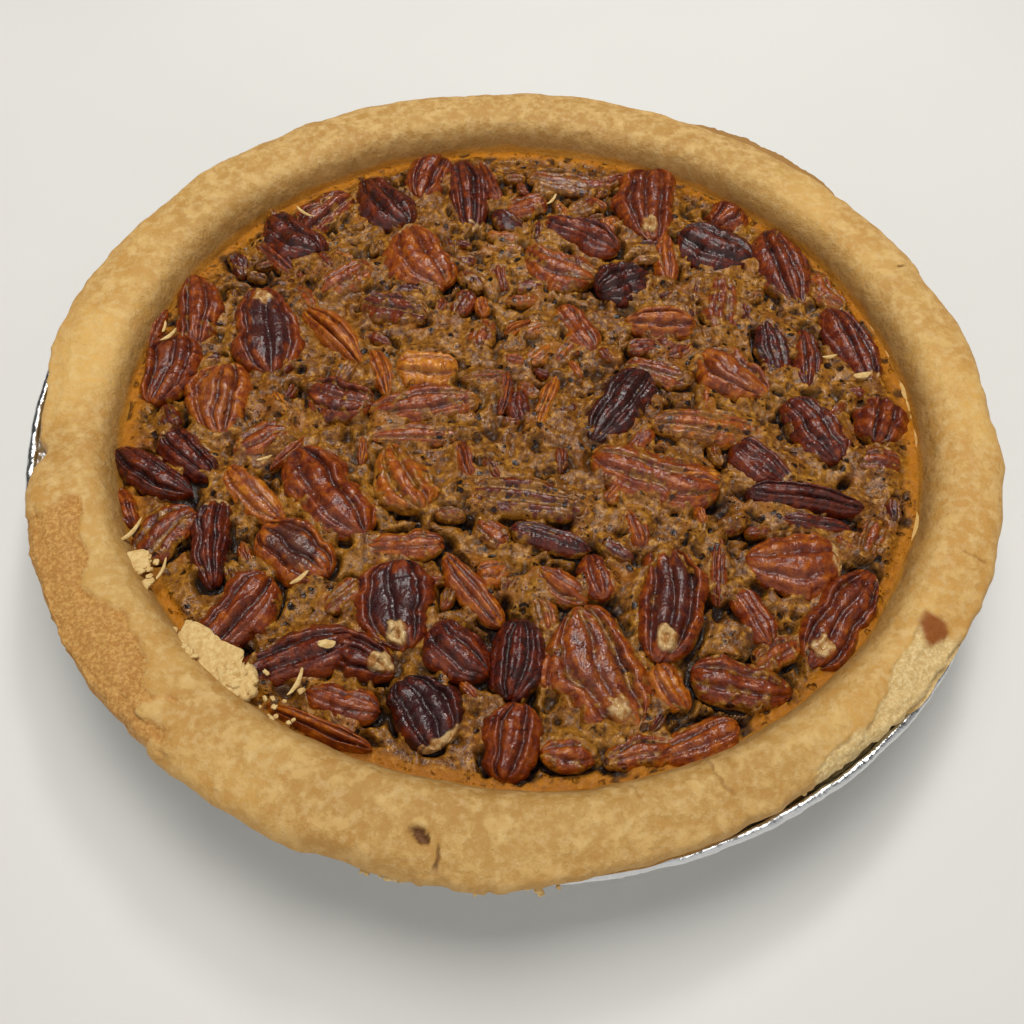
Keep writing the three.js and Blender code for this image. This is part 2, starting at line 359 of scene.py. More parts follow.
def outward(points):
    """Unit normals of a grid whose first index runs round and whose second runs along."""
    round_way = np.roll(points, -1, axis=0) - np.roll(points, 1, axis=0)
    normal = np.cross(round_way, np.gradient(points, axis=1))
    return normal / np.linalg.norm(normal, axis=-1, keepdims=True)


def degrees_of(points):
    """The bearing of each point."""
    return np.degrees(np.arctan2(points[..., 1], points[..., 0]))


def speckle(points, size, seed):
    """Sharp-edged spots from 0 to 1: smooth noise of two sizes, cut at a level."""
    both = noises(points, seed, (size, 1), (size / 2.3, 0.5))
    return smooth(both, 0.2, 0.5)


def pastry_relief(points, across):
    """How far the baked surface stands out, and its masks. across goes from 0 under the outer edge
    to 1 at the custard. Slow lumps, blisters and pimples stand up. Lost skin and the broken edge are
    shallow steps with crumbs in them, a crack is a narrow groove along a wandering bearing, and one
    hole is a longish pit."""
    turn = degrees_of(points)
    radius = np.hypot(points[..., 0], points[..., 1])
    ragged = noises(points, 21, (9, 1), (3.2, 0.6))
    lost_from, lost_to = SKIN_LOST
    lost = between(turn, lost_from - 2, lost_from + 5, lost_to - 14, lost_to)
    lost = lost * between(across, 0.2, 0.3, 0.6, 0.74)
    lost = smooth(lost, 0, 0.3) * smooth(lost + 0.62 * ragged, 0.42, 0.50)
    broken_from, broken_to = EDGE_BROKEN
    broken = between(turn, broken_from, broken_from + 6, broken_to - 5, broken_to)
    broken_across = 0.44 + 0.14 * smooth(turn, broken_from + 10, broken_from + 20)
    broken = broken * (1 - smooth(across, broken_across, broken_across + 0.14))
    broken = smooth(broken, 0, 0.3) * smooth(broken + 0.42 * ragged, 0.42, 0.52)
    blister = speckle(points, 4.6, 31)
    crumbs = noises(points, 33, (1.5, 1), (0.8, 0.7))
    plates = speckle(points, 3.4, 35)
    relief = noises(points, 23, (15, 0.42), (6, 0.22), (2.4, 0.13)) + 0.16 * blister
    relief = relief - lost * (0.95 - 0.38 * crumbs) - broken * (0.8 - 0.6 * plates - 0.18 * crumbs)
    # Painted shade: the cracks and the hole get a mask that paints them dark, as the shade in them.
    shaded_cracks = np.zeros_like(radius)
    for bearing, near, far, wander, depth in CRACKS:
        line = bearing + wander * noises(points, 41, (4.5, 1), (1.7, 0.5))
        off = np.radians((turn - line + 180) % 360 - 180) * radius
        width = 0.27 + 0.12 * lattice_noise(points, 5, 43)
        groove = np.exp(-((off / width) ** 2)) * between(radius, near, near + 2, far - 2, far)
        shaded_cracks = np.maximum(shaded_cracks, groove * depth)
    long_way = 0.7 * (points[..., 0] - HOLE_AT[0]) - 0.7 * (points[..., 1] - HOLE_AT[1])
    cross_way = 0.7 * (points[..., 0] - HOLE_AT[0]) + 0.7 * (points[..., 1] - HOLE_AT[1])
    hole = np.hypot(long_way / 2.6, cross_way / 1.3) + 0.3 * lattice_noise(points, 1.6, 45)
    shaded_cracks = np.maximum(shaded_cracks, 1.7 * (1 - smooth(hole, 0.6, 1.05)))
    from_spot = np.hypot(points[..., 0] - BURNT_SPOT[0], points[..., 1] - BURNT_SPOT[1])
    burnt = 1 - smooth(from_spot + 1.6 * lattice_noise(points, 2.6, 44), 2.6, 4.4)
    relief = relief - shaded_cracks
    masks = {"lost": lost, "broken": broken, "shaded_cracks": np.clip(shaded_cracks, 0, 1), "burnt": burnt}
    return relief, masks


crack_bearings = [np.arange(crack[0] - 2.2, crack[0] + 2.2, 0.12) for crack in CRACKS]
rim_bearings = np.concatenate([np.linspace(0, 360, RIM_BEARINGS, endpoint=False), *crack_bearings])
rim_bearings = np.radians(np.unique(np.round(rim_bearings % 360, 3)))
reach, top, inside = rim_sizes(rim_bearings)
ring = turned(np.stack([reach, 0 * reach], axis=-1)[:, None], rim_bearings)
edge_wave = noises(ring, 51, (8, 0.55), (3, 0.3))[:, 0]
hanging = between(np.degrees(rim_bearings), HANGING[0], HANGING[0] + 7, HANGING[1] - 7, HANGING[1])
edge_wave += 0.3 * hanging * lattice_noise(ring, 1.7, 53)[:, 0]
section = through(rim_section(reach + edge_wave, top, inside), RIM_STEPS)
level = np.ones(len(rim_bearings))


def level_points(*pairs):
    """Points of radius and height, the same at every bearing."""
    return np.stack([np.stack([r * level, z * level], axis=-1) for r, z in pairs], axis=1)


under_rim = level_points((1.5, 0.65), (60, 0.65), (89.2, 0.95), (105.9, 27.3), (110, 27.3))
above_base = level_points((86.6, 5.2), (60, 5.15), (1.5, 5.15))
crust_points = turned(np.concatenate([under_rim, section, above_base], axis=1), rim_bearings)
rim = slice(under_rim.shape[1], under_rim.shape[1] + RIM_STEPS)
across = np.broadcast_to(np.linspace(0, 1, RIM_STEPS), (len(rim_bearings), RIM_STEPS))
relief, found = pastry_relief(crust_points[:, rim], across)
fade = smooth(across, 0.16, 0.32)
shown = crust_points[:, rim]
shown_normals = outward(shown)
shown_normals *= np.sign((shown_normals * (shown - np.array([0, 0, 20]))).sum(-1).mean())
crust_points[:, rim] = shown + shown_normals * (relief * fade)[..., None]
crust_masks = {}
for name in (*found, "slope_syrup_and_shade", "soaked", "outer", "browner_front_back"):
    crust_masks[name] = np.zeros(crust_points.shape[:2])
for name, values in found.items():
    crust_masks[name][:, rim] = values
# The inner slope towards the custard is painted browner, partly as syrup browning and partly as painted
# shade.
crust_masks["slope_syrup_and_shade"][:, rim] = smooth(across, 0.72, 0.97)
# A tone by bearing: the rim is browner at the front and back than at the right and left.
side_on = np.maximum(np.cos(rim_bearings + 0.1), np.cos(rim_bearings - 3.49))[:, None]
side_on = side_on + 0.35 * lattice_noise(shown, 28, 55)
crust_masks["browner_front_back"][:, rim] = 1 - smooth(side_on, 0.50, 1.12)
soaked_from = 0.945 + 0.015 * lattice_noise(shown, 7, 54)
crust_masks["soaked"][:, rim] = smooth(across, soaked_from, soaked_from + 0.03)
crust_masks["outer"][:, rim] = 1 - smooth(across, 0.3, 0.62)
crust_masks["slope_syrup_and_shade"][:, rim.stop:] = 1
crust = skin("pastry_crust", [crust_points], crust_masks)

pastry_finish, tree, shader, where = new_material("baked_pastry")
patches = steps(tree, noise(tree, where, 0.05, detail=2), 0.36, 0.66)
mottle = steps(tree, noise(tree, where, 0.28, detail=6, rough=0.65), 0.40, 0.62)
specks = steps(tree, noise(tree, where, 0.9, detail=3, rough=0.7), 0.56, 0.72)
flecks = steps(tree, noise(tree, where, 0.45, detail=5, rough=0.65), 0.47, 0.66)
crumbly = steps(tree, noise(tree, where, 1.1, detail=4, rough=0.75), 0.40, 0.64)
layers = (
    ("browner_front_back", 0.75, (0.44, 0.228, 0.050, 1)),
    (mottle, 0.55, (0.77, 0.52, 0.20, 1)),
    (specks, 0.4, (0.43, 0.170, 0.030, 1)),
    (flecks, 0.38, (0.80, 0.58, 0.27, 1)),
    ("outer", 0.45, (0.54, 0.275, 0.072, 1)),
    # The inner slope: syrup browning with painted shade.
    ("slope_syrup_and_shade", 0.8, (0.34, 0.165, 0.038, 1)),
    ("soaked", 1.0, (0.50, 0.215, 0.020, 1)),
    ("lost", 1.0, blended(tree, crumbly, (0.46, 0.205, 0.042, 1), (0.66, 0.37, 0.105, 1))),
    ("broken", 1.0, blended(tree, crumbly, (0.62, 0.41, 0.155, 1), (0.82, 0.62, 0.30, 1))),
    ("burnt", 1.0, (0.29, 0.082, 0.009, 1)),
    # Painted shade in the cracks and the hole.
    ("shaded_cracks", 1.0, (0.17, 0.07, 0.020, 1)),
)
colour = blended(tree, patches, (0.58, 0.300, 0.066, 1), (0.72, 0.425, 0.115, 1))
shader.inputs["Specular IOR Level"].default_value = 0.35
grain = noise(tree, where, 0.7, detail=5, rough=0.65)
grain = maths(tree, "ADD", grain, maths(tree, "MULTIPLY", mottle, 0.4))
roughness = steps(tree, mottle, 0, 1, 0.55, 0.75)
dressed(tree, shader, layered(tree, colour, layers), roughness, grain, 0.36)
place(crust, pastry_finish, "pastry", "crust")

# The custard
# Egg, sugar and syrup, baked to a set brown filling. Its top is a froth full of small holes. It
# climbs a little round each nut and pulls back from some of them, and caramel edges it at the rim.
NUT_NODES = sorted((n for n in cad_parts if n.startswith("pecan_")), key=lambda n: n[-2:])
GRID = 312
DISC = 103.0
CARAMEL_ALL_ROUND = 0.72
CARAMEL = (  # bearing, spread, strength
    (97, 22, 1.0), (-4, 17, 0.9), (-137, 12, 1.0), (-82, 22, 0.7), (178, 12, 0.5),
)
HOLES = (  # x, y, radius, depth
    (1, 0, 1.7, 3.2), (-22, 53, 2.2, 2.6), (8, -47, 1.4, 2.4), (60, -31, 1.6, 2.4), (-5, 13, 1.3, 2.0),
    (-57, 8, 1.5, 2.4), (17, 40, 1.4, 2.2), (-78, 40, 1.3, 2.0), (50, 40, 1.6, 2.6), (-14, -44, 1.5, 2.4),
    (28, -38, 1.3, 2.2), (-35, -14, 1.2, 2.0), (84, -20, 1.4, 2.2), (46, 65, 1.5, 2.6), (-7, 66, 1.5, 2.4),
    (-40, 62, 1.4, 2.4), (-63, 43, 1.5, 2.6), (66, 30, 1.4, 2.4), (13, 14, 1.2, 2.0), (-12, 30, 1.2, 1.8),
    (43, -40, 1.4, 2.4), (-66, -24, 1.4, 2.6), (70, 8, 1.3, 2.4), (-84, -12, 1.3, 2.2), (-2, -60, 1.5, 2.6),
)

# How each nut lies and looks: turn of its long axis, darkness of the skin, froth on it, dark stain
# on an inner face, and what marks the end that the turn points to: a pale nub, or a pale tip there
# or at the other end.
NUT_LOOKS = (
    (77, 0.60, 0.15, 0.0, ""), (-90, 0.58, 0.12, 0.2, "nub"), (-80, 0.76, 0.15, 0.0, "tip"),
    (50, 0.60, 0.20, 0.0, ""), (-55, 0.80, 0.10, 0.0, ""), (50, 0.60, 0.42, 0.0, ""),
    (-30, 0.70, 0.20, 0.0, ""), (-30, 0.88, 0.06, 0.0, ""), (-40, 0.82, 0.08, 0.0, ""),
    (-78, 0.68, 0.24, 0.0, ""), (-60, 0.46, 0.20, 0.0, "far tip"), (-30, 0.50, 0.42, 0.0, ""),
    (30, 0.92, 0.06, 0.0, ""), (45, 0.45, 0.50, 0.0, ""), (-10, 0.76, 0.60, 0.0, ""),
    (2, 0.40, 0.15, 0.0, ""), (-80, 0.60, 0.30, 0.0, ""), (-76, 0.70, 0.12, 0.0, "tip"),
    (105, 0.60, 0.08, 1.0, "nub"), (-45, 0.34, 0.10, 0.0, ""), (-40, 0.40, 0.20, 0.2, ""),
    (5, 0.12, 0.15, 0.0, ""), (88, 0.60, 0.10, 0.3, ""), (60, 0.97, 0.22, 0.0, ""),
    (70, 0.62, 0.15, 0.0, ""), (-15, 0.62, 0.42, 0.4, ""), (12, 0.52, 0.52, 0.0, ""),
    (95, 0.40, 0.12, 0.3, ""), (-60, 0.76, 0.15, 0.0, ""), (-3, 0.42, 0.66, 0.0, ""),
    (-45, 0.76, 0.15, 0.0, "tip"), (-15, 0.50, 0.42, 0.0, ""), (-42, 0.80, 0.03, 0.0, "far tip"),
    (-60, 0.38, 0.56, 0.0, ""), (-6, 0.82, 0.10, 0.0, ""), (-30, 0.80, 0.03, 0.0, ""),
    (-8, 0.80, 0.60, 0.0, ""), (-52, 0.56, 0.24, 0.0, ""), (5, 0.48, 0.12, 0.0, "tip"),
    (-80, 0.80, 0.08, 0.0, "far tip"), (-35, 0.42, 0.10, 0.9, ""), (-96, 0.60, 0.22, 0.8, "nub"),
    (235, 0.58, 0.08, 0.2, "nub"), (-78, 0.70, 0.08, 1.0, "nub"), (60, 0.58, 0.12, 0.0, ""),
    (-40, 0.76, 0.10, 0.0, ""), (85, 0.84, 0.06, 0.0, ""), (-20, 0.70, 0.10, 0.3, "nub"),
    (-68, 0.48, 0.34, 0.3, "nub"), (25, 0.70, 0.08, 0.0, ""), (-8, 0.60, 0.40, 0.0, ""),
    (-55, 0.94, 0.03, 1.0, "tip"), (-20, 0.42, 0.15, 0.0, ""), (80, 0.60, 0.10, 0.0, ""),
)

# Smaller pieces, most of them sunk: x, y, length, width, turn, darkness, froth on it.
PIECES = (
    (-64, -16, 15, 10, 35, 0.55, 0.5), (-63, -33, 21, 9, -42, 0.30, 0.1), (-82, -45, 18, 13, 55, 0.60, 0.4),
    (-34, -85, 17, 8, -12, 0.55, 0.1), (-8, -56, 23, 8, -50, 0.42, 0.2), (57, -58, 18, 8, -65, 0.55, 0.2),
    (43, -90, 19, 10, 25, 0.45, 0.1), (16, 28, 18, 10, -60, 0.46, 0.2), (70, 24, 19, 10, -82, 0.90, 0.3),
    (79, 21, 21, 8, 88, 0.72, 0.2), (42, 57, 20, 7, 90, 0.45, 0.2), (57, 40, 22, 11, 85, 0.60, 0.5),
    (-25, -45, 20, 8, 5, 0.45, 0.4), (-12, 87, 20, 6, -68, 0.60, 0.2), (0, 77, 14, 10, 20, 0.55, 0.5),
    (21, -51, 13, 8, -75, 0.58, 0.2), (13, -54, 14, 8, -35, 0.45, 0.3), (50, -47, 20, 5, 85, 0.60, 0.4),
    (-36, 8, 17, 6, -70, 0.34, 0.1), (-3, 3, 15, 4, 85, 0.55, 0.2), (-12, -19, 12, 5, -75, 0.55, 0.2),
    (38, 13, 19, 9, -20, 0.55, 0.6), (37, -78, 12, 9, -60, 0.34, 0.2), (31, -37, 11, 6, -70, 0.45, 0.2),
    (75, -33, 17, 5, -5, 0.75, 0.2), (47, -21, 12, 6, 5, 0.15, 0.1), (8, 0, 20, 5, 75, 0.30, 0.4),
    (-10, 24, 12, 8, 85, 0.55, 0.6), (0, 27, 10, 4, 40, 0.32, 0.3), (-3, -51, 8, 7, 20, 0.32, 0.3),
    (30, -93, 16, 8, 15, 0.50, 0.4), (15, -94, 12, 8, 0, 0.50, 0.5), (87, 47, 16, 9, -60, 0.50, 0.6),
    (13, 88, 26, 11, -5, 0.62, 0.7), (-70, 48, 20, 6, -40, 0.62, 0.3), (10, -41, 20, 7, -15, 0.85, 0.4),
    (-4, -40, 10, 7, -40, 0.50, 0.5), (-93, -38, 13, 6, -60, 0.55, 0.3), (93, -13, 12, 9, 0, 0.60, 0.5),
    (-25, -12, 24, 7, 5, 0.50, 0.6), (-56, -20, 13, 3, 55, 0.45, 0.1), (-38, -18, 10, 3, -85, 0.40, 0.1),
    (-61, -4, 9, 4, -55, 0.10, 0.3), (10, -75, 9, 6, 80, 0.45, 0.3), (-8, 8, 14, 5, 10, 0.55, 0.6),
    (62, -68, 13, 7, 30, 0.50, 0.5), (88, -36, 14, 8, 60, 0.55, 0.6), (-60, 33, 12, 6, -60, 0.50, 0.5),
    (-77, 69, 12, 6, -45, 0.60, 0.5), (26, 90, 12, 6, 20, 0.60, 0.6), (-99, 20, 14, 5, 80, 0.55, 0.3),
)


def nut_place(node, looks):
    """Where a packed nut lies: its middle, and its length and width along and across its turn."""
    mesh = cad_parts[node].data
    at = np.empty(len(mesh.vertices) * 3)
    mesh.vertices.foreach_get("co", at)
    x, y, _ = at.reshape(-1, 3).T / MM
    turn = math.radians(looks[0])
    along = x * math.cos(turn) + y * math.sin(turn)
    side = y * math.cos(turn) - x * math.sin(turn)
    mid_along = (along.max() + along.min()) / 2
    mid_side = (side.max() + side.min()) / 2
    centre_x = mid_along * math.cos(turn) - mid_side * math.sin(turn)
    centre_y = mid_along * math.sin(turn) + mid_side * math.cos(turn)
    return centre_x, centre_y, np.ptp(along), np.ptp(side)


def past_nut(x, y, spot):
    """Roughly how far a point lies outside a nut's outline, in millimetres: an ellipse's own measure
    less one, times its smaller half axis. It is negative inside."""
    nut_x, nut_y, length, width, turn = spot
    turn = math.radians(turn)
    along = (x - nut_x) * math.cos(turn) + (y - nut_y) * math.sin(turn)
    side = (y - nut_y) * math.cos(turn) - (x - nut_x) * math.sin(turn)
    return (np.hypot(along / (length / 2), side / (width / 2)) - 1) * min(length, width) / 2


# Scraps of nut, sunk in the gaps that are left between the others.
SCRAPS = 85
nut_spots = [(*nut_place(node, looks), looks[0]) for node, looks in zip(NUT_NODES, NUT_LOOKS)]
piece_spots = [spot[:5] for spot in PIECES]
luck = np.random.default_rng(5)
scraps = []
while len(scraps) < SCRAPS:
    x, y = luck.uniform(-97, 97, 2)
    length = luck.uniform(5, 11)
    width = length * luck.uniform(0.45, 0.7)
    turn, tone, froth_on_it = luck.uniform(0, 180), luck.uniform(0.3, 0.85), luck.uniform(0.32, 0.78)
    clear = min(past_nut(x, y, spot) for spot in nut_spots + piece_spots + [s[:5] for s in scraps])
    if math.hypot(x - CUSTARD_SHIFT, y) < 97 and clear > 0.2 * length:
        scraps.append((x, y, length, width, turn, tone, froth_on_it))
piece_spots += [scrap[:5] for scrap in scraps]


def pits(x, y, spacing, seed):
    """Depth from 0 to 1 of round pits. Each square of a grid has one pit, at a random place in it and
    of a random radius, and a point takes the deepest of the nine pits round it."""
    column = np.floor(x / spacing)
    row = np.floor(y / spacing)
    deepest = np.zeros_like(x)
    for right, up in itertools.product((-1, 0, 1), repeat=2):
        cell = np.stack([column + right, row + up, np.zeros_like(x)], axis=-1)
        pit_x = (cell[..., 0] + 0.5 + 0.4 * lattice_noise(cell, 1, seed)) * spacing
        pit_y = (cell[..., 1] + 0.5 + 0.4 * lattice_noise(cell, 1, seed + 1)) * spacing
        radius = spacing * (0.21 + 0.15 * lattice_noise(cell, 1, seed + 2))
        off = np.hypot(x - pit_x, y - pit_y)
        deepest = np.maximum(deepest, 1 - smooth(off, 0.6 * radius, radius))
    return deepest


def custard_top(x, y):
    """Height of the froth and its masks. Slow lumps and fine ones, a rise round each nut, and a dip
    under it. Crevices run beside some nuts, and holes and scattered pits go down."""
    flat = np.stack([x, y, np.zeros_like(x)], axis=-1)
    near = np.full_like(x, 99.0)
    for spot in nut_spots + piece_spots:
        near = np.minimum(near, past_nut(x, y, spot))
    bent_x = x + 1.3 * lattice_noise(flat, 3.4, 61)
    bent_y = y + 1.3 * lattice_noise(flat, 3.4, 62)
    height = 24.5 + noises(flat, 63, (15, 0.55), (5.5, 0.45), (2.6, 0.30), (1.4, 0.20))
    ridges = 0.4 - np.abs(lattice_noise(flat, 4.2, 58))
    height += 0.7 * ridges * smooth(lattice_noise(flat, 11, 59), -0.2, 0.4)
    height += (1.3 + 0.7 * lattice_noise(flat, 4, 60)) * np.exp(-np.maximum(near, 0) / 1.6)
    from_middle = np.hypot(x - CUSTARD_SHIFT, y)
    gaps = smooth(noises(flat, 67, (6.5, 1), (2.5, 0.35)), 0.12, 0.42)
    crevice = gaps * between(near, -1.4, -0.2, 0.5, 1.5)
    crevice *= smooth(from_middle, 10, 45) * 0.5 + 0.5
    hole = np.zeros_like(x)
    for hole_x, hole_y, radius, depth in HOLES:
        off = np.hypot(bent_x - hole_x, bent_y - hole_y)
        hole = np.maximum(hole, depth * (1 - smooth(off, 0.7 * radius, 1.1 * radius)))
    crowded = smooth(lattice_noise(flat, 8, 69), -0.15, 0.35)
    pitted = pits(bent_x, bent_y, 4.6, 71) * crowded
    pitted = np.maximum(pitted, pits(bent_x, bent_y, 9.0, 81) * (crowded > 0.1))
    fine_pits = pits(bent_x + 40, bent_y, 2.4, 74) * smooth(lattice_noise(flat, 6, 78), -0.1, 0.4)
    height -= 3.2 * crevice + hole + 1.6 * pitted + 0.6 * fine_pits
    height -= 1.6 * (1 - smooth(near, -2.6, -1.2))
    at_rim = smooth(from_middle, 97.8 + 1.8 * lattice_noise(flat, 9, 77), 100.5)
    height = height * (1 - 0.8 * at_rim) + (CUSTARD_LEVEL - 0.2) * 0.8 * at_rim
    # Painted shade: the crevices, holes and pits get a mask that paints them near black, as the shade that
    # falls in them.
    hollow_shade = np.clip(0.95 * crevice + 0.45 * hole + 0.75 * pitted + 0.35 * fine_pits, 0, 1)
    bearing = np.degrees(np.arctan2(y, x))
    caramel = CARAMEL_ALL_ROUND
    for middle, spread, strength in CARAMEL:
        off = (bearing - middle + 180) % 360 - 180
        caramel = np.maximum(caramel, strength * np.exp(-((off / spread) ** 2)))
    return height, {"hollow_shade": hollow_shade, "rim": at_rim * caramel * (1 - 0.6 * hollow_shade)}


u, v = np.meshgrid(np.linspace(-1, 1, GRID), np.linspace(-1, 1, GRID), indexing="ij")
custard_x = CUSTARD_SHIFT + DISC * u * np.sqrt(1 - v**2 / 2)
custard_y = DISC * v * np.sqrt(1 - u**2 / 2)
custard_z, custard_masks = custard_top(custard_x, custard_y)
surface = np.stack([custard_x, custard_y, custard_z], axis=-1)
index = np.arange(GRID * GRID).reshape(GRID, GRID)
border = np.concatenate([index[:-1, 0], index[-1, :-1], index[:0:-1, -1], index[0, :0:-1]])
below = surface.reshape(-1, 3)[border] * np.array([0.85, 0.85, 0]) + np.array([0, 0, 5.3])
low = GRID * GRID + np.arange(len(border))
quads = np.stack([index[:-1, :-1], index[1:, :-1], index[1:, 1:], index[:-1, 1:]], axis=-1).reshape(-1, 4)
walls = np.stack([np.roll(border, -1), border, low, np.roll(low, -1)], axis=-1)
custard_faces = quads.tolist() + walls.tolist() + [low[::-1].tolist()]
custard_vertices = np.concatenate([surface.reshape(-1, 3), below])
for name, values in custard_masks.items():
    custard_masks[name] = np.concatenate([values.ravel(), np.zeros(len(border))])
custard = finished_mesh("custard_filling", custard_vertices, custard_faces, custard_masks)

froth = bpy.data.node_groups.new("froth", "ShaderNodeTree")
froth.interface.new_socket("Colour", in_out="OUTPUT", socket_type="NodeSocketColor")
froth.interface.new_socket("Height", in_out="OUTPUT", socket_type="NodeSocketFloat")
where = froth.nodes.new("ShaderNodeTexCoord").outputs["Object"]
broad = steps(froth, noise(froth, where, 0.06, detail=2), 0.35, 0.65)
lumps = noise(froth, where, 0.6, detail=5, rough=0.60)
scatter = {"Vector": where, "Scale": 0.45 / MM, "Detail": 2.0}
scatter = add(froth, "ShaderNodeTexNoise", scatter).outputs["Color"]
stray = add(froth, "ShaderNodeVectorMath", {0: scatter, "Scale": 2.2 * MM}, operation="SCALE").outputs[0]
strayed = add(froth, "ShaderNodeVectorMath", {0: where, 1: stray}, operation="ADD").outputs[0]
cells = add(froth, "ShaderNodeTexVoronoi", {"Vector": strayed, "Scale": 0.27 / MM}).outputs["Distance"]
open_here = steps(froth, noise(froth, where, 0.13, detail=2), 0.44, 0.52)
holes = maths(froth, "MULTIPLY", steps(froth, cells, 0.17, 0.27, 1.0, 0.0), open_here)
bubbles = add(froth, "ShaderNodeTexVoronoi", {"Vector": where, "Scale": 0.85 / MM}).outputs["Distance"]
bubble_pits = steps(froth, bubbles, 0.12, 0.36, 1.0, 0.0)
bubble_share = steps(froth, noise(froth, where, 0.25, detail=2), 0.5, 0.64)
pitting = maths(froth, "MULTIPLY", bubble_pits, bubble_share)
# Painted light: the low parts of the lumps, the pits and the holes are painted dark as the shade in them,
# and the tops of the lumps paler, partly as paler froth and partly as a painted highlight.
layers = (
    (steps(froth, lumps, 0.50, 0.70), 1.0, (0.52, 0.235, 0.028, 1)),
    (steps(froth, lumps, 0.33, 0.49, 0.9, 0.0), 1.0, (0.060, 0.015, 0.001, 1)),
    (pitting, 0.8, (0.045, 0.011, 0.001, 1)),
    (holes, 1.0, (0.008, 0.002, 0.001, 1)),
)
colour = blended(froth, broad, (0.190, 0.062, 0.003, 1), (0.295, 0.116, 0.008, 1))
colour = layered(froth, colour, layers)
height = maths(froth, "SUBTRACT", lumps, maths(froth, "MULTIPLY", pitting, 0.6))
height = maths(froth, "SUBTRACT", height, maths(froth, "MULTIPLY", holes, 1.2))
add(froth, "NodeGroupOutput", {"Colour": colour, "Height": height})


def glazed(tree, shader, where, weight, roughness):
    """A clear syrup glaze over a material, a little wavy."""
    normal = bumped(tree, noise(tree, where, 0.9, detail=2), 0.34)
    sockets = {"Coat Weight": weight, "Coat Roughness": roughness, "Coat Normal": normal}
    fill(tree, shader, {"Specular IOR Level": 0.15, **sockets})


custard_finish, tree, shader, where = new_material("frothy_custard")
froth_node = add(tree, "ShaderNodeGroup", node_tree=froth)
orange = steps(tree, noise(tree, where, 0.13, detail=3), 0.54, 0.72, 0.0, 0.55)
layers = (
    (orange, 1.0, (0.36, 0.110, 0.012, 1)),
    ("rim", 0.85, (0.53, 0.190, 0.008, 1)),
    # The hollows take a painted shade, near black.
    ("hollow_shade", 1.0, (0.008, 0.002, 0.001, 1)),
)
colour = layered(tree, froth_node.outputs["Colour"], layers)
roughness = steps(tree, mask_of(tree, "hollow_shade"), 0, 0.6, 0.24, 0.60)
dressed(tree, shader, colour, roughness, froth_node.outputs["Height"], 0.9)
glazed(tree, shader, where, 0.33, 0.11)
tree.links.new(steps(tree, mask_of(tree, "rim"), 0, 0.5, 0.33, 0.04), shader.inputs["Coat Weight"])
place(custard, custard_finish, "custard", "custard")

# The pecans
# Shelled halves and broken pieces, stirred into the filling before it was baked. The backs are long
# domes with deep grooves. The inner faces have a valley, wrinkled lobes and often a pale nub.
BASE_LINE = 24.0
FULL_RISE = 4.8
HALF_GRID = (76, 50, 8)  # points along a nut, over its top and under it
PIECE_GRID = (40, 28, 6)
SCRAP_GRID = (28, 20, 5)
FACE_GROOVES = ((-0.54, 1.0, 0.10), (0.0, 0.7, 0.075), (0.54, 1.0, 0.10))  # place across, depth, breadth
BACK_GROOVES = (
    (-0.36, 1.0, 0.12), (0.33, 1.0, 0.11), (-0.74, 0.26, 0.07), (0.0, 0.16, 0.06), (0.73, 0.3, 0.07),
)


